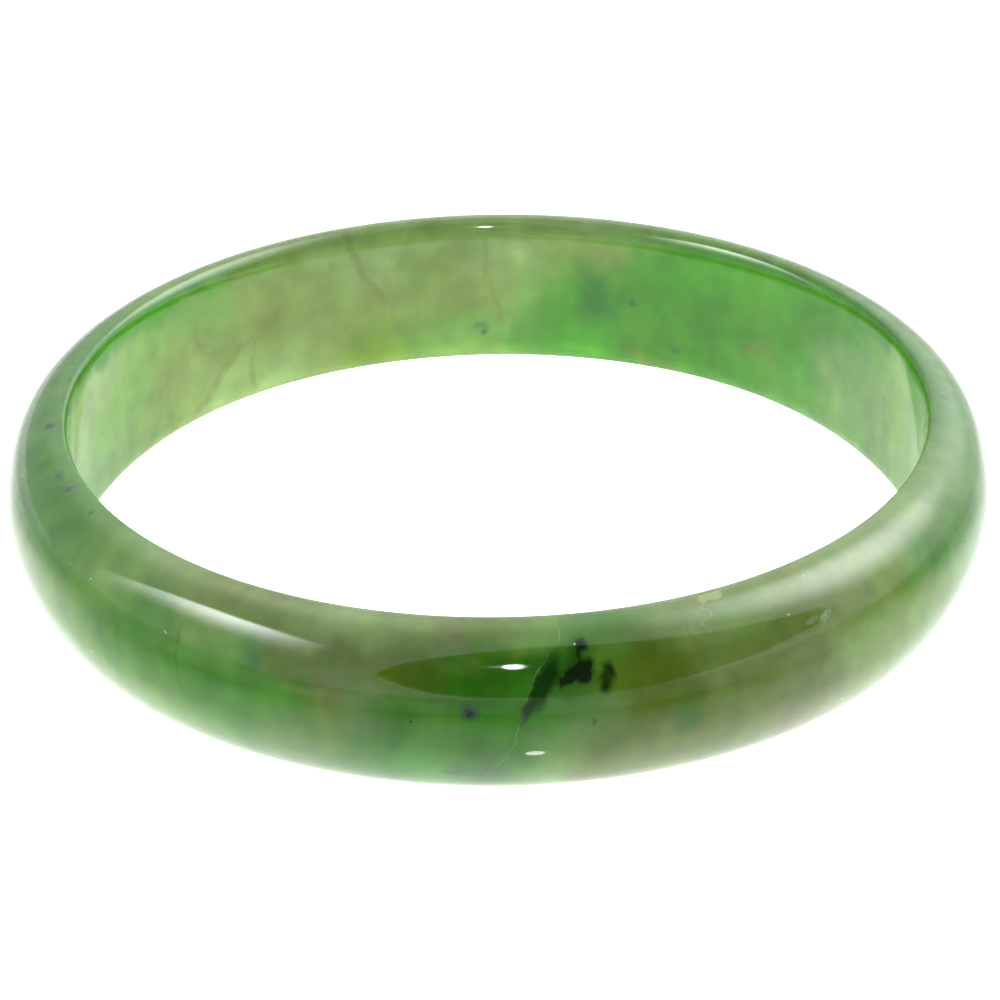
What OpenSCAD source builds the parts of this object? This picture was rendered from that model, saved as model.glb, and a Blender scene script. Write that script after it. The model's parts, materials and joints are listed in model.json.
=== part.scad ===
// Bangle bracelet cut from one block of green nephrite jade and polished all over.
// Millimetres. The ring stands on its rim: +Z is the axis of the wrist opening,
// and the origin is on that axis, at the height of the surface it stands on.

/* [Band] */
// Diameter of the round opening that passes over the hand
inner_d = 60; // [54:0.5:66]
// Thickness of the stone from the inner wall to the crown of the dome
wall_t = 4.75; // [3.5:0.25:7]
// Width of the band, along the axis of the opening
band_w = 12; // [9:0.5:15]
// Radius of the polished corners between the inner wall and the dome
edge_r = 0.7; // [0.4:0.1:1]

/* [Hidden] */
$fn = 192;
inner_r = inner_d/2;
mid_z = band_w/2;
// The dome starts where the rounded corner ends
dome_r = inner_r + edge_r;
dome_t = wall_t - edge_r;

jade_ring();

// The closed ring of stone, which is the whole bracelet
module jade_ring() {
    color([0.36, 0.62, 0.30])
        rotate_extrude()
        band_section();
}

// D-shaped section: straight inner wall, rounded corners and an elliptical dome
module band_section() {
    translate([dome_r, mid_z]) dome_half();
    translate([inner_r, edge_r]) square([edge_r, band_w - 2*edge_r]);
    for (corner_z = [edge_r, band_w - edge_r])
        translate([dome_r, corner_z]) corner_half();
}

// The outer half of an ellipse that is as tall as the band is wide
module dome_half() {
    intersection() {
        scale([dome_t/mid_z, 1]) circle(r = mid_z);
        translate([0, -mid_z]) square([dome_t, band_w]);
    }
}

// The inner half of the circle that rounds a corner
module corner_half() {
    intersection() {
        circle(r = edge_r);
        translate([-edge_r, -edge_r]) square([edge_r, 2*edge_r]);
    }
}
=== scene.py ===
"""Looks of a jade bangle bracelet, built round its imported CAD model.

Metres, in the CAD model's frame: +Z is the axis of the opening, -Y is the front.
Angles round the band are in degrees from the front towards +X.
Angles up the dome are in degrees from its crown, 90 at the upper rim and -90 at the lower.
"""

import json
import math

import bpy
from mathutils import Matrix, Vector, noise


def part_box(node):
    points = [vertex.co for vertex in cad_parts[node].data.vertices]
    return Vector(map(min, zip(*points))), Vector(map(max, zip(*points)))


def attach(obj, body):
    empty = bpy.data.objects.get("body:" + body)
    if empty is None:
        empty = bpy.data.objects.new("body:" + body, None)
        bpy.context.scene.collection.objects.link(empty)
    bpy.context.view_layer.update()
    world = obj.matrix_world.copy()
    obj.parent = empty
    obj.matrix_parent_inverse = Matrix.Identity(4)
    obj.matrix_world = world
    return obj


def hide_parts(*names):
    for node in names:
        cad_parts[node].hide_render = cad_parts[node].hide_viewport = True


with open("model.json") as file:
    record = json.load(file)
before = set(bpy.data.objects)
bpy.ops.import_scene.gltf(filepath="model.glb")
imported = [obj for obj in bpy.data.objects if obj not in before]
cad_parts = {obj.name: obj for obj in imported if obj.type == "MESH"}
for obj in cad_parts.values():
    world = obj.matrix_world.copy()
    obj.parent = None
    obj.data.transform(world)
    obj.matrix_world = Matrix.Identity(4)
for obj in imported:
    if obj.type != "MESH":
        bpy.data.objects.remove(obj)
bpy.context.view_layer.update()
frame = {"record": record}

MM = 0.001
BORE = next(m for m in frame["record"]["mounts"] if m["name"] == "wrist_bore")
LOW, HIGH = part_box("jade_ring")
BAND_W = HIGH.z - LOW.z
MID_Z = (HIGH.z + LOW.z) / 2
OUTER_R = HIGH.x
INNER_R = BORE["dims"]["r_mm"] * MM
EDGE_R = (BAND_W - BORE["dims"]["length_mm"] * MM) / 2
DOME_R = INNER_R + EDGE_R
DOME_T = OUTER_R - DOME_R


# ---------------------------------------------------------------- camera

CAMERA_ELEVATION = 28.17
CAMERA_DISTANCE = 0.2701
CAMERA_LENS = 137.05
CAMERA_ROLL = -0.65
# How far the middle of the ring lies from the middle of the picture, as a share of its side
CENTRE_RIGHT = -0.0021
CENTRE_UP = 0.0267


def add_camera():
    """The camera, where the perspective fitted to the photo puts it."""
    camera = bpy.data.objects.new("camera", bpy.data.cameras.new("camera"))
    bpy.context.scene.collection.objects.link(camera)
    camera.data.lens = CAMERA_LENS
    camera.data.sensor_width = 36
    camera.data.clip_start = 0.01
    camera.data.clip_end = 100
    elevation = math.radians(CAMERA_ELEVATION)
    out = Vector((0, -math.cos(elevation), math.sin(elevation)))
    reach = CAMERA_LENS / camera.data.sensor_width
    aim = (
        Matrix.Rotation(math.radians(90 - CAMERA_ELEVATION), 4, "X")
        @ Matrix.Rotation(math.radians(CAMERA_ROLL), 4, "Z")
        @ Matrix.Rotation(-math.atan(CENTRE_UP / reach), 4, "X")
        @ Matrix.Rotation(math.atan(CENTRE_RIGHT / reach), 4, "Y")
    )
    place = Matrix.Translation(Vector((0, 0, MID_Z)) + out * CAMERA_DISTANCE)
    camera.matrix_world = place @ aim
    bpy.context.scene.camera = camera


# ---------------------------------------------------------------- node helpers


class Nodes:
    """A short way to write a material's node tree."""

    def __init__(self, tree):
        self.tree = tree

    def add(self, kind, **settings):
        node = self.tree.nodes.new(kind)
        for name, value in settings.items():
            setattr(node, name, value)
        return node

    def feed(self, socket, value):
        if isinstance(value, bpy.types.NodeSocket):
            self.tree.links.new(value, socket)
        elif value is not None:
            socket.default_value = value

    def maths(self, operation, a, b=None, c=None, clamp=False):
        node = self.add("ShaderNodeMath", operation=operation, use_clamp=clamp)
        for socket, value in zip(node.inputs, (a, b, c)):
            self.feed(socket, value)
        return node.outputs[0]

    def maths_mix(self, share, a, b):
        node = self.add("ShaderNodeMix", data_type="FLOAT")
        for socket, value in zip(node.inputs[:1] + node.inputs[2:4], (share, a, b)):
            self.feed(socket, value)
        return node.outputs[0]

    def vector(self, operation, a, b=None, scale=None):
        node = self.add("ShaderNodeVectorMath", operation=operation)
        self.feed(node.inputs[0], a)
        self.feed(node.inputs[1], b)
        self.feed(node.inputs[3], scale)
        is_number = operation in ("DISTANCE", "LENGTH", "DOT_PRODUCT")
        return node.outputs[1 if is_number else 0]

    def ramp(self, value, low, high, to_low=0.0, to_high=1.0):
        node = self.add("ShaderNodeMapRange", interpolation_type="SMOOTHSTEP")
        for name, given in (
            ("Value", value),
            ("From Min", low),
            ("From Max", high),
            ("To Min", to_low),
            ("To Max", to_high),
        ):
            self.feed(node.inputs[name], given)
        return node.outputs[0]

    def noise(self, place, size_mm, detail=2.0, rough=0.5, warp=0.0):
        node = self.add("ShaderNodeTexNoise")
        self.feed(node.inputs["Vector"], place)
        node.inputs["Scale"].default_value = 1 / (size_mm * MM)
        node.inputs["Detail"].default_value = detail
        node.inputs["Roughness"].default_value = rough
        node.inputs["Distortion"].default_value = warp
        return node.outputs["Fac"], node.outputs["Color"]

    def show(self, surface):
        output = self.add("ShaderNodeOutputMaterial")
        self.tree.links.new(surface, output.inputs["Surface"])

    def mix(self, share, a, b, blend="MIX"):
        node = self.add("ShaderNodeMix", data_type="RGBA", blend_type=blend)
        self.feed(node.inputs["Factor"], share)
        self.feed(node.inputs["A"], a)
        self.feed(node.inputs["B"], b)
        return node.outputs["Result"]


def colour(red, green, blue):
    return (red, green, blue, 1.0)


# ---------------------------------------------------------------- places on the ring


def dome_point(round_angle, dome_angle):
    """The point of the dome at two angles, in metres."""
    turn = math.radians(round_angle)
    lean = math.radians(dome_angle)
    radius = DOME_R + DOME_T * math.cos(lean)
    height = MID_Z + BAND_W / 2 * math.sin(lean)
    return Vector((radius * math.sin(turn), -radius * math.cos(turn), height))


def wall_point(round_angle, height_mm):
    """The point of the inner wall at an angle and a height, in metres."""
    turn = math.radians(round_angle)
    return Vector((INNER_R * math.sin(turn), -INNER_R * math.cos(turn), height_mm * MM))


def standing_frame(point, out):
    """A frame at a point: x to the right as seen from outside, y up the surface, z along out."""
    right = Vector((0, 0, 1)).cross(out).normalized()
    up = out.cross(right)
    turn = Matrix((right, up, out)).transposed().to_4x4()
    return Matrix.Translation(point) @ turn


def dome(round_angle, dome_angle):
    """The frame of the dome's surface at two angles."""
    turn = math.radians(round_angle)
    lean = math.radians(dome_angle)
    flat = math.cos(lean) / DOME_T
    rise = math.sin(lean) / (BAND_W / 2)
    out = Vector((flat * math.sin(turn), -flat * math.cos(turn), rise)).normalized()
    return standing_frame(dome_point(round_angle, dome_angle), out)


def wall(round_angle, height_mm):
    """The frame of the inner wall's surface at an angle and a height."""
    turn = math.radians(round_angle)
    out = Vector((-math.sin(turn), math.cos(turn), 0))
    return standing_frame(wall_point(round_angle, height_mm), out)


# ---------------------------------------------------------------- ring mesh

ROUND_STEPS = 480
DOME_STEPS = 72
CORNER_STEPS = 14
WALL_STEPS = 20
# Height and width of the inner corners: crisp at the front and the sides, worn at the back
CORNER_CRISP = (1.0 * MM, 0.45 * MM)
CORNER_WORN = (1.9 * MM, 1.25 * MM)
# How far behind the axis the wear starts and where it's full, as shares of the radius
WEAR_STARTS = 0.3
WEAR_FULL = 0.9
# How far the handles of a cubic curve reach along its ends, to draw a quarter of an ellipse
HANDLE = 0.5523
# Unevenness that hand polishing leaves, as a height and the distance between swells
SWELL = 0.006 * MM
SWELL_LENGTH = 7 * MM


def ellipse_point(centre_r, centre_z, half_r, half_z, turn):
    """A point of an ellipse and its outward normal, in the plane of the band's section."""
    out, up = math.cos(turn) / half_r, math.sin(turn) / half_z
    size = math.hypot(out, up)
    radius = centre_r + half_r * math.cos(turn)
    height = centre_z + half_z * math.sin(turn)
    return radius, height, out / size, up / size


def upper_corner_point(tall, wide, lean, share):
    """A point of the cubic curve from the dome's top end down to the wall, and its normal."""
    start = Vector((DOME_R + DOME_T * math.cos(lean), MID_Z + BAND_W / 2 * math.sin(lean)))
    along = Vector((-DOME_T * math.sin(lean), BAND_W / 2 * math.cos(lean))).normalized()
    end = Vector((INNER_R, HIGH.z - tall))
    near_start = start + along * HANDLE * wide
    near_end = end + Vector((0, HANDLE * tall))
    rest = 1 - share
    point = rest**3 * start + 3 * rest**2 * share * near_start
    point += 3 * rest * share**2 * near_end + share**3 * end
    run = rest**2 * (near_start - start) + 2 * rest * share * (near_end - near_start)
    run += share**2 * (end - near_end)
    normal = Vector((run.y, -run.x)).normalized()
    return point.x, point.y, normal.x, normal.y


def section_points(tall, wide):
    """The band's outline as (radius, height, outward normal), from the wall down and round."""
    lean = math.acos((wide - EDGE_R) / DOME_T)
    shares = [step / CORNER_STEPS for step in range(CORNER_STEPS + 1)]
    upper = [upper_corner_point(tall, wide, lean, share) for share in shares]
    lower = [(radius, 2 * MID_Z - height, out, -up) for radius, height, out, up in upper]
    points = []
    for step in range(WALL_STEPS):
        share = step / WALL_STEPS
        height = HIGH.z - tall - share * (BAND_W - 2 * tall)
        points.append((INNER_R, height, -1.0, 0.0))
    points += lower[:0:-1]
    for step in range(DOME_STEPS):
        turn = lean * (2 * step / DOME_STEPS - 1)
        points.append(ellipse_point(DOME_R, MID_Z, DOME_T, BAND_W / 2, turn))
    points += upper[:-1]
    return points


def corner_size_at(turn):
    """The height and width of the inner corner, at an angle in radians from the front."""
    behind = -math.cos(turn)
    share = min(max((behind - WEAR_STARTS) / (WEAR_FULL - WEAR_STARTS), 0.0), 1.0)
    share = share * share * (3 - 2 * share)
    return [crisp + share * (worn - crisp) for crisp, worn in zip(CORNER_CRISP, CORNER_WORN)]


def swell_at(place):
    """How far hand polishing leaves the surface out of true, at a place."""
    return (noise.noise(place / SWELL_LENGTH) - 0.5) * SWELL


def ring_mesh(name):
    """The ring: a section of the band in each column, joined to the next one."""
    vertices = []
    for column in range(ROUND_STEPS):
        turn = math.tau * column / ROUND_STEPS
        section = section_points(*corner_size_at(turn))
        rows = len(section)
        east, north = math.sin(turn), -math.cos(turn)
        for radius, height, out, up in section:
            place = Vector((radius * east, radius * north, height))
            normal = Vector((out * east, out * north, up))
            vertices.append(place + normal * swell_at(place))
    faces = []
    for column in range(ROUND_STEPS):
        here, there = column * rows, (column + 1) % ROUND_STEPS * rows
        for row in range(rows):
            above = (row + 1) % rows
            faces.append((here + row, there + row, there + above, here + above))
    mesh = bpy.data.meshes.new(name)
    mesh.from_pydata(vertices, [], faces)
    mesh.shade_smooth()
    mesh.update()
    return mesh


# ---------------------------------------------------------------- jade material

GREEN = colour(0.064, 0.205, 0.026)
EMERALD = colour(0.038, 0.168, 0.009)
BRIGHT_EMERALD = colour(0.050, 0.225, 0.013)
DARK_EMERALD = colour(0.026, 0.126, 0.005)
BLUE_GREEN = colour(0.024, 0.125, 0.027)
OLIVE = colour(0.080, 0.138, 0.009)
DARK_OLIVE = colour(0.050, 0.112, 0.006)
YELLOW_GREEN = colour(0.125, 0.218, 0.018)
KHAKI = colour(0.150, 0.225, 0.056)
DARK_KHAKI = colour(0.125, 0.190, 0.042)
MAUVE = colour(0.155, 0.192, 0.076)
BROWN = colour(0.120, 0.125, 0.040)
MINT = colour(0.125, 0.262, 0.050)
PALE = colour(0.185, 0.288, 0.092)
GREY_GREEN = colour(0.105, 0.205, 0.060)
GREY_BLUE = colour(0.030, 0.050, 0.045)
STAIN = colour(0.003, 0.024, 0.002)
INK = colour(0.004, 0.010, 0.003)
WHITE = colour(0.750, 0.780, 0.650)
# What faint clots and streaks multiply the colour by
DARKER = colour(0.840, 0.840, 0.840)
LIGHTER = colour(1.180, 1.180, 1.180)

# The stone's main colours round the dome, in rows from low to high: dome angle, then
# (round angle, colour) from the back left, past the front, to the back right. The pale and
# mint colours at the back of the two upper rows are painted light: they stand in for the
# light that comes through the stone from behind onto the back of the upper dome.
DOME_ROWS = [
    (-25, [(-180, KHAKI), (-140, KHAKI), (-110, GREEN), (-60, MINT), (-40, MINT), (-31, GREEN),
           (-21, GREY_GREEN), (-13, EMERALD), (-7, BRIGHT_EMERALD), (-2, DARK_EMERALD),
           (2, EMERALD), (5, MINT), (10, OLIVE), (18, DARK_KHAKI), (27, DARK_KHAKI), (34, MAUVE),
           (45, PALE), (60, MINT), (80, GREEN), (120, EMERALD), (160, EMERALD), (180, KHAKI)]),
    (10, [(-180, KHAKI), (-140, KHAKI), (-110, GREEN), (-60, MINT), (-48, GREEN), (-38, GREEN),
          (-30, GREEN), (-24, GREEN), (-18, DARK_KHAKI), (-15, GREY_GREEN), (-11.5, EMERALD),
          (-7, GREEN), (-3, EMERALD), (2, EMERALD), (6, GREEN), (10, GREY_GREEN), (15, OLIVE),
          (19.5, OLIVE), (24, DARK_KHAKI), (29, DARK_KHAKI), (34, MAUVE), (41, PALE), (49, PALE),
          (60, MINT), (70, GREEN), (78, EMERALD), (90, GREEN), (120, EMERALD), (160, EMERALD),
          (180, KHAKI)]),
    # the two upper rows are paler at the back: painted light, for light through the stone from
    # behind
    (40, [(-180, PALE), (-140, MINT), (-110, GREEN), (-75, EMERALD), (-60, GREEN), (-50, MINT),
          (-42, GREEN), (-34, MINT), (-28, GREEN), (-24, OLIVE), (-18, OLIVE), (-12, OLIVE),
          (-8, DARK_OLIVE), (-5, DARK_EMERALD), (0, DARK_EMERALD), (7, DARK_EMERALD),
          (12, OLIVE), (18, OLIVE), (23, DARK_KHAKI), (29, DARK_KHAKI), (36, DARK_KHAKI),
          (42, KHAKI), (49, YELLOW_GREEN), (55, GREEN), (60, GREEN), (68, GREEN), (80, GREEN),
          (110, EMERALD), (150, GREEN), (180, PALE)]),
    (76, [(-180, PALE), (-150, PALE), (-130, MINT), (-110, GREEN), (-85, GREEN), (-62, GREEN),
          (-52, MINT), (-43, PALE), (-36, KHAKI), (-27, KHAKI), (-20, PALE), (-12, PALE),
          (-6, KHAKI), (-2, YELLOW_GREEN), (5, MINT), (9, GREEN), (13, GREEN), (18, PALE),
          (25, PALE), (34, KHAKI), (44, PALE), (55, PALE), (68, MINT), (85, GREEN), (110, GREEN),
          (150, MINT), (168, PALE), (180, PALE)]),
]

# The same round the inner wall, by height in mm
WALL_ROWS = [
    (2.2, [(-180, MINT), (-172, MINT), (-161, YELLOW_GREEN), (-153, KHAKI), (-145, PALE),
           (-135, PALE), (-125, KHAKI), (-110, GREY_GREEN), (-90, GREEN), (0, GREEN), (90, MINT),
           (110, GREY_GREEN), (122, GREY_GREEN), (132, GREEN), (143, EMERALD), (152, EMERALD),
           (160, EMERALD), (168, BRIGHT_EMERALD), (176, GREEN), (180, MINT)]),
    (6, [(-180, KHAKI), (-172, KHAKI), (-160, KHAKI), (-152, KHAKI), (-144, DARK_KHAKI),
         (-136, KHAKI), (-126, KHAKI), (-117, MINT), (-108, MINT), (-90, MINT), (0, GREEN),
         (90, MINT), (104, MINT), (112, GREY_GREEN), (122, GREY_GREEN), (131, EMERALD),
         (140, EMERALD), (150, EMERALD), (158, EMERALD), (164, EMERALD), (170, BRIGHT_EMERALD),
         (175, MINT), (180, KHAKI)]),
    (9.6, [(-180, PALE), (-170, KHAKI), (-160, PALE), (-150, KHAKI), (-142, KHAKI),
           (-132, MINT), (-122, MINT), (-108, PALE), (-90, MINT), (-60, GREEN), (-30, KHAKI),
           (5, YELLOW_GREEN), (30, KHAKI), (60, GREEN), (90, GREEN), (105, MINT), (114, GREEN),
           (125, EMERALD), (138, BRIGHT_EMERALD), (150, BRIGHT_EMERALD), (158, BRIGHT_EMERALD),
           (164, KHAKI), (169, KHAKI), (175, PALE), (180, PALE)]),
    (11.2, [(-180, PALE), (-168, PALE), (-158, PALE), (-150, PALE), (-140, MINT),
            (-130, BRIGHT_EMERALD), (-118, BRIGHT_EMERALD), (-100, EMERALD), (-60, GREEN),
            (-30, PALE), (5, MINT), (30, PALE), (60, MINT), (100, EMERALD), (112, EMERALD),
            (125, BRIGHT_EMERALD), (150, BRIGHT_EMERALD), (160, MINT), (172, PALE),
            (180, PALE)]),
]

# Soft clouds in the stone: place, half width and half height in mm, tilt anticlockwise
# in degrees, share of the size that fades, strength and colour. Later ones lie on top.
CLOUDS = [
    (dome(-27.5, 36), 1.9, 1.3, 20, 1.0, 0.70, BLUE_GREEN),
    (dome(-22, 28), 2.6, 0.9, -20, 0.9, 0.60, DARK_OLIVE),
    (dome(-19, 14), 1.2, 2.4, 0, 0.9, 0.45, BROWN),
    (dome(-11.5, -4), 0.9, 2.6, 8, 1.0, 0.45, BLUE_GREEN),
    (dome(-5, 70), 1.4, 2.8, 35, 0.9, 0.55, BROWN),
    (dome(-3.5, -36), 2.6, 0.9, 0, 0.9, 0.70, BLUE_GREEN),
    (dome(19.5, -6), 1.3, 2.6, 0, 1.0, 0.60, BLUE_GREEN),
    (dome(36, 10), 0.9, 3.6, -12, 0.9, 0.30, BROWN),
    (dome(59, 30), 2.4, 2.2, 30, 0.9, 0.60, EMERALD),
    (wall(163.5, 5.2), 2.6, 2.8, 20, 1.0, 0.60, BLUE_GREEN),
    (wall(-178.2, 2.4), 1.2, 0.9, 40, 1.0, 0.60, BLUE_GREEN),
    (wall(156, 1.4), 3.0, 0.9, 0, 1.0, 0.45, BROWN),
    (wall(138, 4), 2.0, 1.2, 0, 1.0, 0.45, BROWN),
    (wall(-145, 7), 3.4, 1.6, 10, 0.9, 0.35, BROWN),
]

# Grains and stains with a firmer outline, given in the same way
MARKS = [
    # the stain that runs down from the dark grains
    (dome(5.4, 42), 1.0, 2.4, -24, 0.9, 0.70, STAIN),
    (dome(4.4, 30), 0.9, 2.4, -24, 0.6, 0.90, STAIN),
    (dome(2.9, 17), 0.5, 1.3, -24, 0.7, 0.85, STAIN),
    (dome(2.3, 9), 0.3, 0.8, -18, 0.8, 0.75, GREY_BLUE),
    # the dark grains at the front
    (dome(8.2, 48), 1.0, 2.2, -6, 0.8, 0.65, STAIN),
    (dome(9.0, 58), 0.70, 0.60, 0, 0.7, 0.95, INK),
    (dome(8.6, 53), 0.30, 0.40, 0, 0.9, 0.70, INK),
    (dome(8.8, 38), 0.95, 0.88, 0, 0.45, 0.95, INK),
    (dome(7.3, 34.5), 1.10, 0.58, 25, 0.6, 0.95, INK),
    (dome(9.6, 43), 0.45, 0.60, 0, 0.7, 0.90, INK),
    (dome(8.4, 47), 0.25, 0.80, -20, 0.8, 0.75, INK),
    (dome(6.3, 33), 0.16, 0.60, 10, 0.6, 0.75, INK),
    (dome(11.4, 33), 0.70, 1.50, -8, 0.7, 0.90, STAIN),
    (dome(11.8, 37), 0.35, 0.40, 0, 0.8, 0.70, INK),
    (dome(11.0, 27), 0.30, 0.60, -20, 0.8, 0.70, INK),
    # soft spots near the crown
    (dome(-3.3, 14.7), 1.00, 0.92, 0, 0.85, 0.90, GREY_BLUE),
    (dome(-3.3, 14.5), 0.50, 0.45, 0, 0.9, 0.75, INK),
    (dome(-9.5, 6.6), 0.14, 0.14, 0, 0.5, 0.85, INK),
    (dome(9.8, 4.2), 0.40, 0.40, 0, 0.9, 0.65, GREY_BLUE),
    (dome(-5.6, -34), 0.70, 0.35, 0, 0.8, 0.60, GREY_BLUE),
    # grey grains on the left rim
    (dome(-83.8, 82), 0.55, 0.60, 0, 0.8, 0.85, GREY_BLUE),
    (dome(-70.5, 78), 0.90, 0.50, 0, 0.9, 0.55, GREY_BLUE),
    (dome(-66.5, 80), 0.45, 0.50, 0, 0.8, 0.75, GREY_BLUE),
    (dome(-59.3, 79), 0.30, 0.40, 0, 0.8, 0.65, GREY_BLUE),
    (dome(-37.7, 38), 0.12, 0.10, 0, 0.5, 0.60, INK),
    (dome(-38.6, 39), 0.09, 0.09, 0, 0.5, 0.60, INK),
    # grains in the far wall
    (wall(-178.3, 2.5), 0.40, 0.50, 0, 0.9, 0.75, GREY_BLUE),
    (wall(159.4, 5.8), 0.45, 0.40, 0, 0.9, 0.75, GREY_BLUE),
    (wall(147.6, 9.3), 0.25, 0.22, 0, 0.9, 0.40, GREY_BLUE),
    (wall(152.5, 2.4), 0.90, 0.55, 0, 0.9, 0.45, GREY_BLUE),
    (wall(117.5, 9.1), 0.40, 0.30, 0, 0.9, 0.55, GREY_BLUE),
    (wall(109.3, 6.3), 0.70, 0.30, -45, 0.9, 0.45, GREY_BLUE),
    (dome(89, 82), 0.40, 0.40, 0, 0.8, 0.60, GREY_BLUE),
    (dome(66, 40), 0.50, 0.35, 30, 0.9, 0.40, DARK_EMERALD),
]

# Flaws at the surface, given in the same way
FLAWS = [
    # the two scales of clearer stone at the right
    (dome(24.5, 62), 1.9, 1.9, 0, 0.15, 0.30, PALE),
    (dome(28.5, 60), 2.1, 1.7, 0, 0.12, 0.40, MINT),
    (dome(25.6, 85), 1.1, 0.45, 8, 0.3, 0.80, colour(0.36, 0.42, 0.18)),
]

# Crumbled spots, which also break the polish
PITS = [
    (dome(38.2, 37), 0.85, 0.45, 18, 0.6, 0.75, colour(0.26, 0.34, 0.22)),
    (dome(36.2, 38), 0.75, 0.26, 10, 0.7, 0.50, colour(0.26, 0.34, 0.22)),
]

# Pale specks at the surface
SPECKS = [
    (dome(8.1, 58), 0.10, 0.09, 0, 0.4, 0.90, WHITE),
    (dome(12.7, 31), 0.08, 0.08, 0, 0.4, 0.80, WHITE),
    (dome(33.6, 48), 0.08, 0.08, 0, 0.4, 0.80, WHITE),
    (dome(37.8, 72), 0.10, 0.10, 0, 0.4, 0.90, WHITE),
    (dome(97.5, 80), 0.16, 0.13, 0, 0.4, 0.80, WHITE),
    (dome(-56.5, 37), 0.12, 0.07, 40, 0.4, 0.80, WHITE),
    (dome(-52.3, 38), 0.12, 0.08, -30, 0.4, 0.70, WHITE),
    (dome(-51.1, -13.5), 0.11, 0.11, 0, 0.4, 0.90, WHITE),
    (dome(-77, 45), 0.16, 0.07, 20, 0.4, 0.60, WHITE),
    (dome(-39, 30), 0.30, 0.05, -12, 0.6, 0.50, WHITE),
    (dome(41, -33), 0.30, 0.06, -20, 0.6, 0.60, WHITE),
]

# Thin sheets that cross the band, seen as lines: points (round angle, height in mm) from
# top to bottom, distance of the surface from the axis, half thickness in mm, strength, colour
STRANDS = [
    # the healed crack at the front
    ([(6.2, 12.0), (6.2, 11.4), (5.4, 10.97), (4.4, 10.1), (3.2, 8.9), (2.2, 7.1), (1.2, 5.1),
      (0.0, 3.7), (-1.2, 2.7)], OUTER_R, 0.055, 0.36, colour(0.38, 0.45, 0.24)),
    # short dark threads on the outside
    ([(-9.6, 11.0), (-9.3, 9.5), (-9.7, 8.0)], OUTER_R, 0.14, 0.35, BROWN),
    ([(13.0, 11.2), (13.3, 9.6), (12.9, 8.4)], OUTER_R, 0.16, 0.30, BROWN),
    ([(21.2, 11.3), (21.8, 9.8), (21.5, 8.4)], OUTER_R, 0.20, 0.35, BROWN),
    ([(-37.2, 9.6), (-37.0, 7.5), (-36.0, 5.0)], OUTER_R, 0.22, 0.45, DARK_EMERALD),
    ([(-45.5, 9.0), (-46.0, 7.0), (-45.0, 5.5)], OUTER_R, 0.30, 0.35, DARK_EMERALD),
    ([(65.5, 10.4), (64.5, 9.0), (66.5, 7.6)], OUTER_R, 0.22, 0.45, DARK_EMERALD),
    # brown threads in the far wall
    ([(-158.4, 12.0), (-158.9, 9.6), (-161.4, 7.4), (-163.6, 5.8)], INNER_R, 0.55, 0.40, BROWN),
    ([(-178.9, 11.1), (-178.4, 8.5), (-179.4, 6.1), (-180.6, 4.2), (-181.0, 3.0)], INNER_R,
     0.32, 0.36, BROWN),
    ([(-166.0, 6.5), (-164.5, 4.5), (-165.5, 3.0)], INNER_R, 0.50, 0.35, BROWN),
    ([(-141.7, 5.8), (-137.3, 4.1), (-134.7, 3.0), (-131.1, 1.0)], INNER_R, 0.90, 0.45, BROWN),
    ([(-142.0, 5.4), (-141.3, 2.7), (-142.0, 0.8)], INNER_R, 0.40, 0.40, BROWN),
    ([(-131.2, 8.4), (-131.8, 6.4), (-134.8, 5.2)], INNER_R, 0.45, 0.40, BROWN),
    ([(170.9, 8.2), (170.6, 9.2), (169.9, 9.9)], INNER_R, 0.40, 0.35, BROWN),
]

# The crinkled edges of the clear scales, given like the strands
SCALE_EDGES = [
    ([(25.6, 12.0), (24.0, 11.8), (24.6, 11.5), (23.2, 11.2), (23.8, 10.9), (23.0, 10.6)],
     OUTER_R, 0.22, 0.55, colour(0.28, 0.36, 0.13)),
    ([(31.4, 11.7), (32.2, 11.2), (31.4, 10.9), (31.8, 10.6), (30.6, 10.3), (29.6, 10.1)],
     OUTER_R, 0.11, 0.40, PALE),
]

# A patch whose half sizes differ by no more than this is drawn as a ball
ROUND_ENOUGH_MM = 0.1
# The least half depth of any other patch
LEAST_DEPTH_MM = 0.5
# How far a strand may stray to either side of its middle
STRAND_REACH = 4 * MM
# How far a strand's ends fade, up and down
STRAND_FADE = 0.6 * MM


def round_row(nodes, along, stops):
    """Colours that change smoothly round the band; along runs from 0 to 1 round it."""
    ramp = nodes.add("ShaderNodeValToRGB")
    nodes.feed(ramp.inputs["Fac"], along)
    ramp.color_ramp.interpolation = "EASE"
    elements = ramp.color_ramp.elements
    for step, (round_angle, tint) in enumerate(stops):
        spot = (round_angle + 180) / 360
        element = elements[step] if step < 2 else elements.new(spot)
        element.position = spot
        element.color = tint
    return ramp.outputs["Color"]


def stacked_rows(nodes, along, level, rows):
    """Rows of colours blended into one another by level."""
    shade = round_row(nodes, along, rows[0][1])
    for (below, _), (above, stops) in zip(rows, rows[1:]):
        share = nodes.ramp(level, below, above)
        shade = nodes.mix(share, shade, round_row(nodes, along, stops))
    return shade


def axis_distance(nodes, place):
    """How far a place is from the axis of the opening."""
    return nodes.vector("LENGTH", nodes.vector("MULTIPLY", place, (1.0, 1.0, 0.0)))


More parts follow.
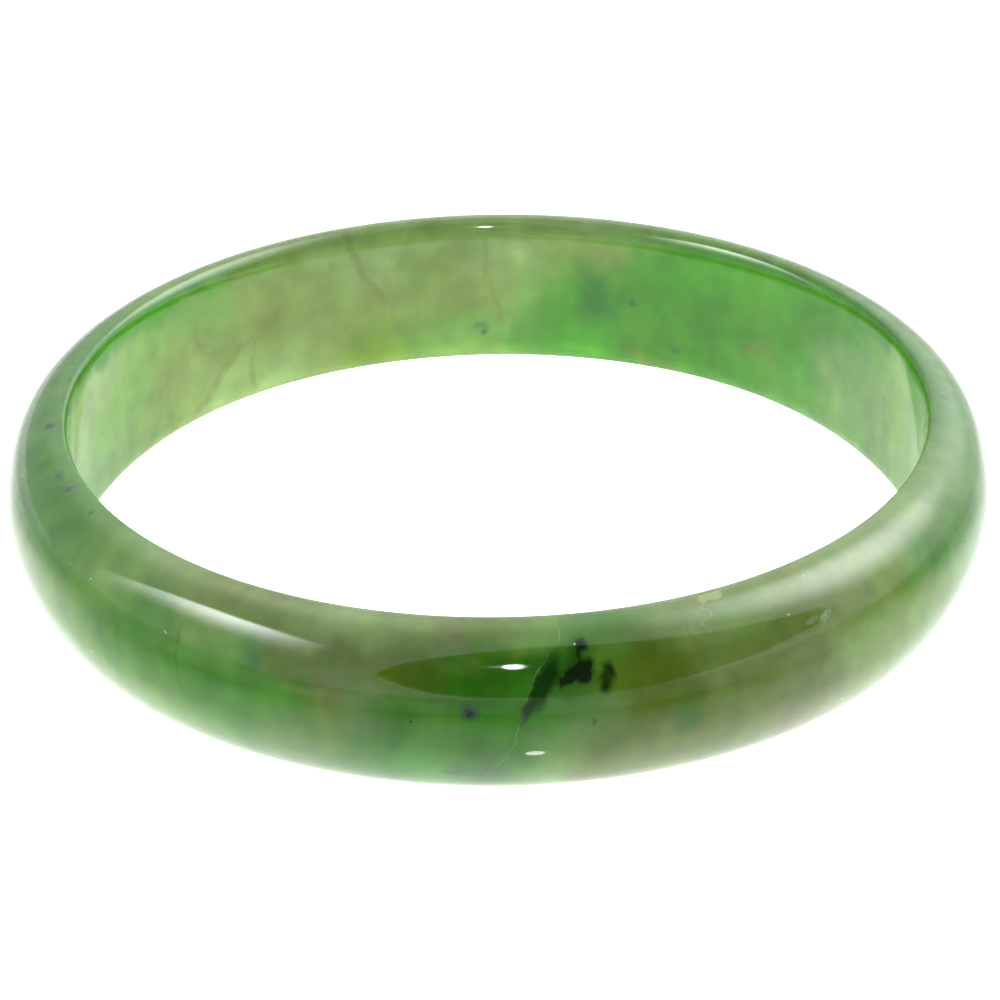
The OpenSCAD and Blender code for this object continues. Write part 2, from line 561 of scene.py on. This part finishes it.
def main_colours(nodes, place, bent_place):
    """The rows round the dome and round the wall, joined at the rims."""
    parts = nodes.add("ShaderNodeSeparateXYZ")
    nodes.feed(parts.inputs[0], bent_place)
    east, north, height = parts.outputs
    turn = nodes.maths("ARCTAN2", east, nodes.maths("MULTIPLY", north, -1.0))
    along = nodes.maths("MULTIPLY_ADD", turn, 1 / math.tau, 0.5)
    radius = axis_distance(nodes, bent_place)
    rise = nodes.maths("DIVIDE", nodes.maths("SUBTRACT", height, MID_Z), BAND_W / 2)
    reach = nodes.maths("MAXIMUM", nodes.maths("SUBTRACT", radius, DOME_R), 0.01 * MM)
    lean = nodes.maths("ARCTAN2", rise, nodes.maths("DIVIDE", reach, DOME_T))
    outside = stacked_rows(nodes, along, nodes.maths("DEGREES", lean), DOME_ROWS)
    inside = stacked_rows(nodes, along, nodes.maths("DIVIDE", height, MM), WALL_ROWS)
    at_wall = nodes.ramp(axis_distance(nodes, place), DOME_R, INNER_R + 0.2 * MM)
    return nodes.mix(at_wall, outside, inside)


def patch_mask(nodes, place, spot, wide_mm, tall_mm, tilt, soft, strength):
    """How much of a patch there is at a place: an ellipsoid that fades towards its skin."""
    if abs(wide_mm - tall_mm) <= ROUND_ENOUGH_MM:
        reach = (wide_mm + tall_mm) / 2 * MM
        away = nodes.vector("DISTANCE", place, tuple(spot.translation))
        return nodes.ramp(away, reach, reach * (1.0 - soft), 0.0, strength)
    frame_at = spot @ Matrix.Rotation(math.radians(tilt), 4, "Z")
    deep_mm = max(wide_mm, tall_mm, LEAST_DEPTH_MM)
    local = nodes.add("ShaderNodeMapping", vector_type="TEXTURE")
    nodes.feed(local.inputs["Vector"], place)
    local.inputs["Location"].default_value = frame_at.translation
    local.inputs["Rotation"].default_value = frame_at.to_euler()
    local.inputs["Scale"].default_value = (wide_mm * MM, tall_mm * MM, deep_mm * MM)
    away = nodes.vector("LENGTH", local.outputs[0])
    return nodes.ramp(away, 1.0, 1.0 - soft, 0.0, strength)


def strand_mask(nodes, place, points, radius, half_mm, strength):
    """How much of a thin sheet there is at a place, from the line that it draws on the surface."""
    turns = [math.radians(turn) for turn, _ in points]
    middle = sum(turns) / len(turns)
    heights = [height * MM for _, height in points]
    sides = [radius * (turn - middle) for turn in turns]
    local = nodes.add("ShaderNodeMapping", vector_type="TEXTURE")
    nodes.feed(local.inputs["Vector"], place)
    local.inputs["Rotation"].default_value = (0, 0, middle)
    parts = nodes.add("ShaderNodeSeparateXYZ")
    nodes.feed(parts.inputs[0], local.outputs[0])
    bend = nodes.add("ShaderNodeFloatCurve")
    curve = bend.mapping.curves[0]
    ups = [height / BAND_W for height in heights]
    shifts = [0.5 + side / (2 * STRAND_REACH) for side in sides]
    for step, (along, across) in enumerate(sorted(zip(ups, shifts))):
        if step < 2:
            curve.points[step].location = (along, across)
        else:
            curve.points.new(along, across)
    bend.mapping.update()
    nodes.feed(bend.inputs["Value"], nodes.maths("DIVIDE", parts.outputs[2], BAND_W))
    line = nodes.maths("SUBTRACT", bend.outputs[0], 0.5)
    line = nodes.maths("MULTIPLY", line, 2 * STRAND_REACH)
    away = nodes.maths("ABSOLUTE", nodes.maths("SUBTRACT", parts.outputs[0], line))
    mask = nodes.ramp(away, half_mm * MM, 0.25 * half_mm * MM, 0.0, strength)
    # Only on this side of the ring, and only as far up and down as the line goes
    mask = nodes.maths("MULTIPLY", mask, nodes.maths("LESS_THAN", parts.outputs[1], 0.0))
    bottom, top = min(heights), max(heights)
    low = nodes.ramp(parts.outputs[2], bottom - STRAND_FADE, bottom + STRAND_FADE)
    high = nodes.ramp(parts.outputs[2], top + STRAND_FADE, top - STRAND_FADE)
    return nodes.maths("MULTIPLY", mask, nodes.maths("MULTIPLY", low, high))


def bent(nodes, place, size_mm, reach_mm, detail=2.0):
    """A place pushed about at random, so that what is drawn there gets a natural outline."""
    _, wander = nodes.noise(place, size_mm, detail=detail)
    offset = nodes.vector("SUBTRACT", wander, (0.5, 0.5, 0.5))
    return nodes.vector("ADD", place, nodes.vector("SCALE", offset, scale=2 * reach_mm * MM))


def add_patches(nodes, shade, place, patches):
    """Patches laid over a shade, and how much of any of them there is."""
    total = 0.0
    for spot, wide_mm, tall_mm, tilt, soft, strength, tint in patches:
        mask = patch_mask(nodes, place, spot, wide_mm, tall_mm, tilt, soft, strength)
        shade = nodes.mix(mask, shade, tint)
        total = nodes.maths("MAXIMUM", total, mask)
    return shade, total


def add_strands(nodes, shade, place, presence, strands):
    """Strands laid over a shade, broken up by presence."""
    for points, radius, half_mm, strength, tint in strands:
        mask = strand_mask(nodes, place, points, radius, half_mm, strength)
        shade = nodes.mix(nodes.maths("MULTIPLY", mask, presence), shade, tint)
    return shade


def mottled(nodes, shade, place):
    """The stone's own unevenness: faint clots, streaks along the axis and paler wisps."""
    clots, _ = nodes.noise(place, 2.2, detail=3.0, rough=0.5)
    shade = nodes.mix(nodes.ramp(clots, 0.28, 0.54, 0.8, 0.0), shade, DARKER, "MULTIPLY")
    shade = nodes.mix(nodes.ramp(clots, 0.48, 0.74, 0.0, 0.8), shade, LIGHTER, "MULTIPLY")
    upright = nodes.vector("MULTIPLY", place, (1.0, 1.0, 0.22))
    streaks, _ = nodes.noise(upright, 1.8, detail=1.0)
    shade = nodes.mix(nodes.ramp(streaks, 0.30, 0.54, 0.3, 0.0), shade, DARKER, "MULTIPLY")
    shade = nodes.mix(nodes.ramp(streaks, 0.48, 0.72, 0.0, 0.3), shade, LIGHTER, "MULTIPLY")
    warm, _ = nodes.noise(nodes.vector("MULTIPLY", place, (1.0, 1.0, 0.4)), 3.6, detail=2.0)
    shade = nodes.mix(nodes.ramp(warm, 0.50, 0.72, 0.0, 0.16), shade, YELLOW_GREEN)
    cool, _ = nodes.noise(nodes.vector("ADD", place, (0.1, 0.2, 0.3)), 3.2, detail=2.0)
    shade = nodes.mix(nodes.ramp(cool, 0.54, 0.74, 0.0, 0.20), shade, BLUE_GREEN)
    return shade


def stone_shade(nodes, place, ragged):
    """The stone's colour under its pits, and how much dark grain there is."""
    cloudy = bent(nodes, place, 3.6, 2.2)
    wavy = bent(nodes, place, 1.6, 0.35)
    shade = main_colours(nodes, place, cloudy)
    shade, _ = add_patches(nodes, shade, cloudy, CLOUDS)
    shade = mottled(nodes, shade, place)
    shade, _ = add_patches(nodes, shade, ragged, FLAWS)
    patchy, _ = nodes.noise(place, 0.9)
    presence = nodes.ramp(patchy, 0.30, 0.60, 0.25, 1.0)
    shade = add_strands(nodes, shade, wavy, presence, STRANDS)
    shade = add_strands(nodes, shade, ragged, presence, SCALE_EDGES)
    shade, dark = add_patches(nodes, shade, ragged, MARKS)
    shade, _ = add_patches(nodes, shade, ragged, SPECKS)
    return shade, dark


def crumbled(nodes, shade, place):
    """Pits laid over a shade, with darker crumbs in them, and how much pit there is."""
    crumbs, _ = nodes.noise(place, 0.16, detail=2.0)
    crumbly = bent(nodes, place, 0.25, 0.25)
    shade, pit = add_patches(nodes, shade, crumbly, PITS)
    crumb = nodes.maths("MULTIPLY", pit, nodes.ramp(crumbs, 0.60, 0.40))
    return nodes.mix(crumb, shade, OLIVE), pit


def polish(nodes, place, pit):
    """A high polish with faint smears, dull in the pits."""
    smears, _ = nodes.noise(place, 1.8, detail=3.0)
    rough = nodes.ramp(smears, 0.30, 0.75, 0.035, 0.075)
    return nodes.maths_mix(pit, rough, 0.45)


def polish_grain(nodes, place):
    """The faint grain that breaks up sharp reflections."""
    grain, _ = nodes.noise(place, 0.3, detail=2.0, rough=0.6)
    bump = nodes.add("ShaderNodeBump")
    bump.inputs["Strength"].default_value = 0.5
    bump.inputs["Distance"].default_value = 0.0006 * MM
    nodes.feed(bump.inputs["Height"], grain)
    return bump.outputs[0]


def empty_material(name):
    """A material with no nodes yet, and the short way to write them."""
    material = bpy.data.materials.new(name)
    material.use_nodes = True
    material.node_tree.nodes.clear()
    return material, Nodes(material.node_tree)


def jade_material():
    """Polished nephrite, which light enters everywhere but at the dark grains."""
    material, nodes = empty_material("jade")
    place = nodes.add("ShaderNodeTexCoord").outputs["Object"]
    ragged = bent(nodes, place, 0.8, 0.35)
    shade, dark = stone_shade(nodes, place, ragged)
    shade, pit = crumbled(nodes, shade, place)
    shader = nodes.add("ShaderNodeBsdfPrincipled")
    nodes.feed(shader.inputs["Base Color"], shade)
    nodes.feed(shader.inputs["Roughness"], polish(nodes, place, pit))
    nodes.feed(shader.inputs["Normal"], polish_grain(nodes, place))
    nodes.feed(shader.inputs["Subsurface Weight"], nodes.maths("SUBTRACT", 1.0, dark))
    shader.inputs["IOR"].default_value = 1.62
    shader.inputs["Subsurface Radius"].default_value = (0.5, 1.0, 0.35)
    shader.inputs["Subsurface Scale"].default_value = 0.8 * MM
    nodes.show(shader.outputs[0])
    return material


# ---------------------------------------------------------------- studio


def toward(azimuth, elevation, distance=1.0):
    """The direction seen from the ring at an azimuth from the front and an elevation."""
    turn, lift = math.radians(azimuth), math.radians(elevation)
    flat = distance * math.cos(lift)
    return Vector((flat * math.sin(turn), -flat * math.cos(turn), distance * math.sin(lift)))


def add_stage_mesh(name, corners, material, camera=False, diffuse=True, glossy=True, faces=None):
    """A part of the studio, and which rays see it: the camera's, the soft light's, the polish's."""
    mesh = bpy.data.meshes.new(name)
    mesh.from_pydata([tuple(c) for c in corners], [], faces or [tuple(range(len(corners)))])
    mesh.materials.append(material)
    stage = bpy.data.objects.new(name, mesh)
    bpy.context.scene.collection.objects.link(stage)
    stage.visible_camera = camera
    stage.visible_diffuse = diffuse
    stage.visible_glossy = glossy
    stage.visible_transmission = camera
    stage.visible_shadow = False
    return stage


def glow_material(name, strength):
    """A surface that shines evenly and hides what is behind it."""
    material, nodes = empty_material(name)
    glow = nodes.add("ShaderNodeEmission")
    glow.inputs["Strength"].default_value = strength
    nodes.show(glow.outputs[0])
    return material


def soft_material(name, strength, falloff, adds=True):
    """Light of uneven strength, over what is behind it or in its place.

    falloff gets the nodes and the place on the card, and gives a share of the strength.
    """
    material, nodes = empty_material(name)
    place = nodes.add("ShaderNodeTexCoord").outputs["Object"]
    glow = nodes.add("ShaderNodeEmission")
    nodes.feed(glow.inputs["Strength"], nodes.maths("MULTIPLY", falloff(nodes, place), strength))
    surface = glow.outputs[0]
    if adds:
        clear = nodes.add("ShaderNodeBsdfTransparent")
        both = nodes.add("ShaderNodeAddShader")
        nodes.feed(both.inputs[0], surface)
        nodes.feed(both.inputs[1], clear.outputs[0])
        surface = both.outputs[0]
    nodes.show(surface)
    return material


def soft_round(core):
    """Full strength out to a share of the radius, then fading to nothing at the rim."""

    def falloff(nodes, place):
        away = nodes.vector("LENGTH", place)
        return nodes.ramp(away, 1.0, core)

    return falloff


# The even soft light from all round
WORLD_STRENGTH = 0.52
# What the tent's walls show in the polish
TENT_SHEEN = 0.76
# How dim the room is that shows through the tent's open front
ROOM_SHEEN = 0.02
# Distance of the lights
FAR = 6.0
FLOOR_R = 3.0
# The white wall, just inside the floor's rim, and how far its foot is from the floor
BACKDROP_R = 2.9
BACKDROP_LOW = -1.0
BACKDROP_TALL = 4.0


def add_world():
    world = bpy.data.worlds.new("studio")
    bpy.context.scene.world = world
    world.use_nodes = True
    background = world.node_tree.nodes["Background"]
    background.inputs["Color"].default_value = colour(1, 1, 1)
    background.inputs["Strength"].default_value = WORLD_STRENGTH


def circle(centre, radius, sides=48):
    turns = [math.tau * side / sides for side in range(sides)]
    spokes = [Vector((math.cos(turn), math.sin(turn), 0)) for turn in turns]
    return [centre + radius * spoke for spoke in spokes]


# What the camera and the soft light get from the floor
FLOOR_GLOW = 2.0
# Light thrown back inside the opening, on top of the floor's own
FLOOR_INSIDE = 1.9
# The least that the polish sees of the floor, and what it sees more inside the opening
FLOOR_MIRRORED = 0.12
OPENING_MIRRORED = 0.8
# A small bright spot on the floor, which makes a second glint low on the front
GLINT = 8.0
GLINT_PLACE = (2.7 * MM, -37.8 * MM, 0.0)
GLINT_SIZE = (0.9 * MM, 0.5 * MM, 1.0 * MM)


def floor_sheen(nodes, place):
    """What the polish sees of the floor: bright round the stone, more so behind it, then dim."""
    away = nodes.vector("LENGTH", place)
    parts = nodes.add("ShaderNodeSeparateXYZ")
    nodes.feed(parts.inputs[0], nodes.vector("NORMALIZE", place))
    to_back = parts.outputs[1]
    # All round the stone, and more close to it
    broad = nodes.ramp(away, 58 * MM, 33 * MM, 0.0, 1.0)
    close = nodes.ramp(away, 40 * MM, 33 * MM, 0.0, 0.9)
    # At the sides and the back, far off at the back, and close behind the stone
    sides = nodes.ramp(to_back, -0.75, 0.0, 0.0, 1.3)
    sides = nodes.maths("MULTIPLY", sides, nodes.ramp(away, 86 * MM, 38 * MM))
    beyond = nodes.ramp(to_back, -0.1, 0.7, 0.25, 1.1)
    beyond = nodes.maths("MULTIPLY", beyond, nodes.ramp(away, 60 * MM, 70 * MM))
    behind = nodes.ramp(to_back, 0.1, 0.5, 0.0, 1.0)
    behind = nodes.maths("MULTIPLY", behind, nodes.ramp(away, 70 * MM, 60 * MM))
    # The small bright spot in front
    glint_spot = nodes.vector("SUBTRACT", place, GLINT_PLACE)
    glint_away = nodes.vector("LENGTH", nodes.vector("DIVIDE", glint_spot, GLINT_SIZE))
    outside = nodes.ramp(glint_away, 1.0, 0.7, 0.0, GLINT)
    for part in (broad, close, sides, beyond, behind):
        outside = nodes.maths("ADD", outside, part)
    inside = nodes.ramp(away, 32 * MM, 31 * MM)
    sheen = nodes.maths_mix(inside, outside, OPENING_MIRRORED)
    return nodes.maths("ADD", sheen, FLOOR_MIRRORED)


def add_floor():
    """One floor for the camera and the soft light, and an uneven one that the polish mirrors."""
    under = Vector((0, 0, LOW.z - 0.02 * MM))
    glow = glow_material("floor_glow", FLOOR_GLOW)
    add_stage_mesh("floor", circle(under, FLOOR_R), glow, camera=True, glossy=False)
    inside = soft_material("floor_inside", FLOOR_INSIDE, lambda nodes, place: 1.0)
    over = Vector((0, 0, LOW.z - 0.01 * MM))
    add_stage_mesh("floor_inside", circle(over, INNER_R), inside, glossy=False)
    mirrored = soft_material("floor_mirrored", 1.0, floor_sheen, adds=False)
    add_stage_mesh("table", circle(under, FLOOR_R), mirrored, diffuse=False)


# Outline of the dark room seen through the open front of the light tent: azimuth, elevation
DARK_OUTLINE = [
    (-27, 18),
    (-26, 26),
    (-22, 37),
    (-14, 50),
    (-5, 58),
    (6, 63),
    (16, 64),
    (28, 61),
    (42, 54),
    (54, 44),
    (64, 36),
    (71, 28),
    (78, 21),
    (80, 13),
    (75, 8),
    (68, 8),
    (59, 5),
    (50, 4),
    (39, 2),
    (28, -1),
    (17, -1),
    (6, 1),
    (-5, 2),
    (-15, 5),
    (-21, 10),
]


def add_tent():
    """The inside of the light tent: a box that gives no soft light of its own."""
    ends = (-2 * FAR, 2 * FAR)
    corners = [Vector((x, y, z)) for x in ends for y in ends for z in ends]
    sides = [(0, 1, 3, 2), (4, 6, 7, 5), (0, 4, 5, 1), (2, 3, 7, 6), (0, 2, 6, 4), (1, 5, 7, 3)]
    sheen = glow_material("tent", TENT_SHEEN)
    add_stage_mesh("tent", corners, sheen, camera=True, diffuse=False, faces=sides)


def add_backdrop():
    """A white wall round the floor, which only the camera sees."""
    foot = circle(Vector((0, 0, LOW.z + BACKDROP_LOW)), BACKDROP_R)
    corners = foot + [corner + Vector((0, 0, BACKDROP_TALL)) for corner in foot]
    count = len(foot)
    faces = [(k, (k + 1) % count, (k + 1) % count + count, k + count) for k in range(count)]
    white = glow_material("backdrop", FLOOR_GLOW)
    add_stage_mesh("backdrop", corners, white, camera=True, diffuse=False, glossy=False, faces=faces)


def add_dark_room():
    corners = [toward(turn, lift, 1.3 * FAR) for turn, lift in DARK_OUTLINE]
    add_stage_mesh("dark_room", corners, glow_material("dark_room", ROOM_SHEEN))


# Soft round lights: name, azimuth, elevation, half width and half height in degrees,
# strength, and the share of the radius that has it in full
SOFT_LIGHTS = [
    ("lamp", 3.2, 36.0, 2.5, 3.8, 26, 0.6),
    ("lamp_tail", 1.5, 36.3, 6.0, 2.4, 3, 0.0),
    ("right_light", 113, 45, 33, 33, 4.8, 0.1),
    ("right_halo", 114, 32, 48, 46, 1.1, 0.0),
    ("back_right_light", 150, 20, 32, 30, 1.2, 0.0),
    ("back_left_light", -155, 55, 28, 28, 0.6, 0.0),
    ("back_light", 180, 48, 34, 44, 0.4, 0.3),
]


def add_soft_light(name, azimuth, elevation, wide, tall, strength, core):
    """A round soft light that faces the ring."""
    out = toward(azimuth, elevation)
    across = Vector((0, 0, 1)).cross(out).normalized()
    up = out.cross(across)
    material = soft_material(name, strength, soft_round(core))
    corners = [(-1, -1, 0), (1, -1, 0), (1, 1, 0), (-1, 1, 0)]
    card = add_stage_mesh(name, corners, material)
    half_w = FAR * math.tan(math.radians(wide))
    half_h = FAR * math.tan(math.radians(tall))
    turn = Matrix((across * half_w, up * half_h, out)).transposed().to_4x4()
    card.matrix_world = Matrix.Translation(out * FAR) @ turn


# Top edge of the left light, from its far end to its near end: azimuth, elevation
LEFT_EDGE = [
    (-116, -9),
    (-108, 9),
    (-99, 27),
    (-91, 41),
    (-83, 46),
    (-74, 47.5),
    (-65, 48),
    (-55, 46.5),
    (-44, 44),
]
# How far the left light reaches down from its top edge, in degrees
LEFT_DEPTH = 36
LEFT_STRENGTH = 12.0


def left_falloff(nodes, place):
    """Fades at both ends and downwards, with an all but sharp top edge."""
    spot = nodes.add("ShaderNodeSeparateXYZ")
    nodes.feed(spot.inputs[0], nodes.add("ShaderNodeUVMap").outputs[0])
    along, up = spot.outputs[0], spot.outputs[1]
    rise = nodes.ramp(along, 0.16, 0.62)
    fall = nodes.ramp(along, 1.05, 0.62)
    fade = nodes.maths("POWER", nodes.ramp(up, 0.0, 0.90), 2.4)
    edge = nodes.ramp(up, 1.0, 0.87)
    level = nodes.maths("MULTIPLY", nodes.maths("MULTIPLY", rise, fall), fade)
    return nodes.maths("MULTIPLY", level, edge)


def add_left_light():
    """A white panel lit from above: bright along its top edge, fading downwards."""
    count = len(LEFT_EDGE)
    corners = [toward(turn, lift, FAR) for turn, lift in LEFT_EDGE]
    corners += [toward(turn, lift - LEFT_DEPTH, FAR) for turn, lift in LEFT_EDGE]
    faces = [(k, k + 1, count + k + 1, count + k) for k in range(count - 1)]
    material = soft_material("left_light", LEFT_STRENGTH, left_falloff)
    light = add_stage_mesh("left_light", corners, material, faces=faces)
    uv = light.data.uv_layers.new(name="UVMap")
    for loop in light.data.loops:
        spot = loop.vertex_index
        uv.data[loop.index].uv = (spot % count / (count - 1), 1.0 if spot < count else 0.0)


def add_studio():
    add_world()
    add_floor()
    add_tent()
    add_backdrop()
    add_dark_room()
    add_left_light()
    for light in SOFT_LIGHTS:
        add_soft_light(*light)


# ---------------------------------------------------------------- pieces


def add_ring():
    """The ring of stone, in place of the CAD's."""
    ring = bpy.data.objects.new("jade_ring_stone", ring_mesh("jade_ring_stone"))
    bpy.context.scene.collection.objects.link(ring)
    ring.data.materials.append(jade_material())
    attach(ring, "root")
    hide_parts("jade_ring")


bpy.context.scene.view_settings.view_transform = "Standard"
add_camera()
add_studio()
add_ring()
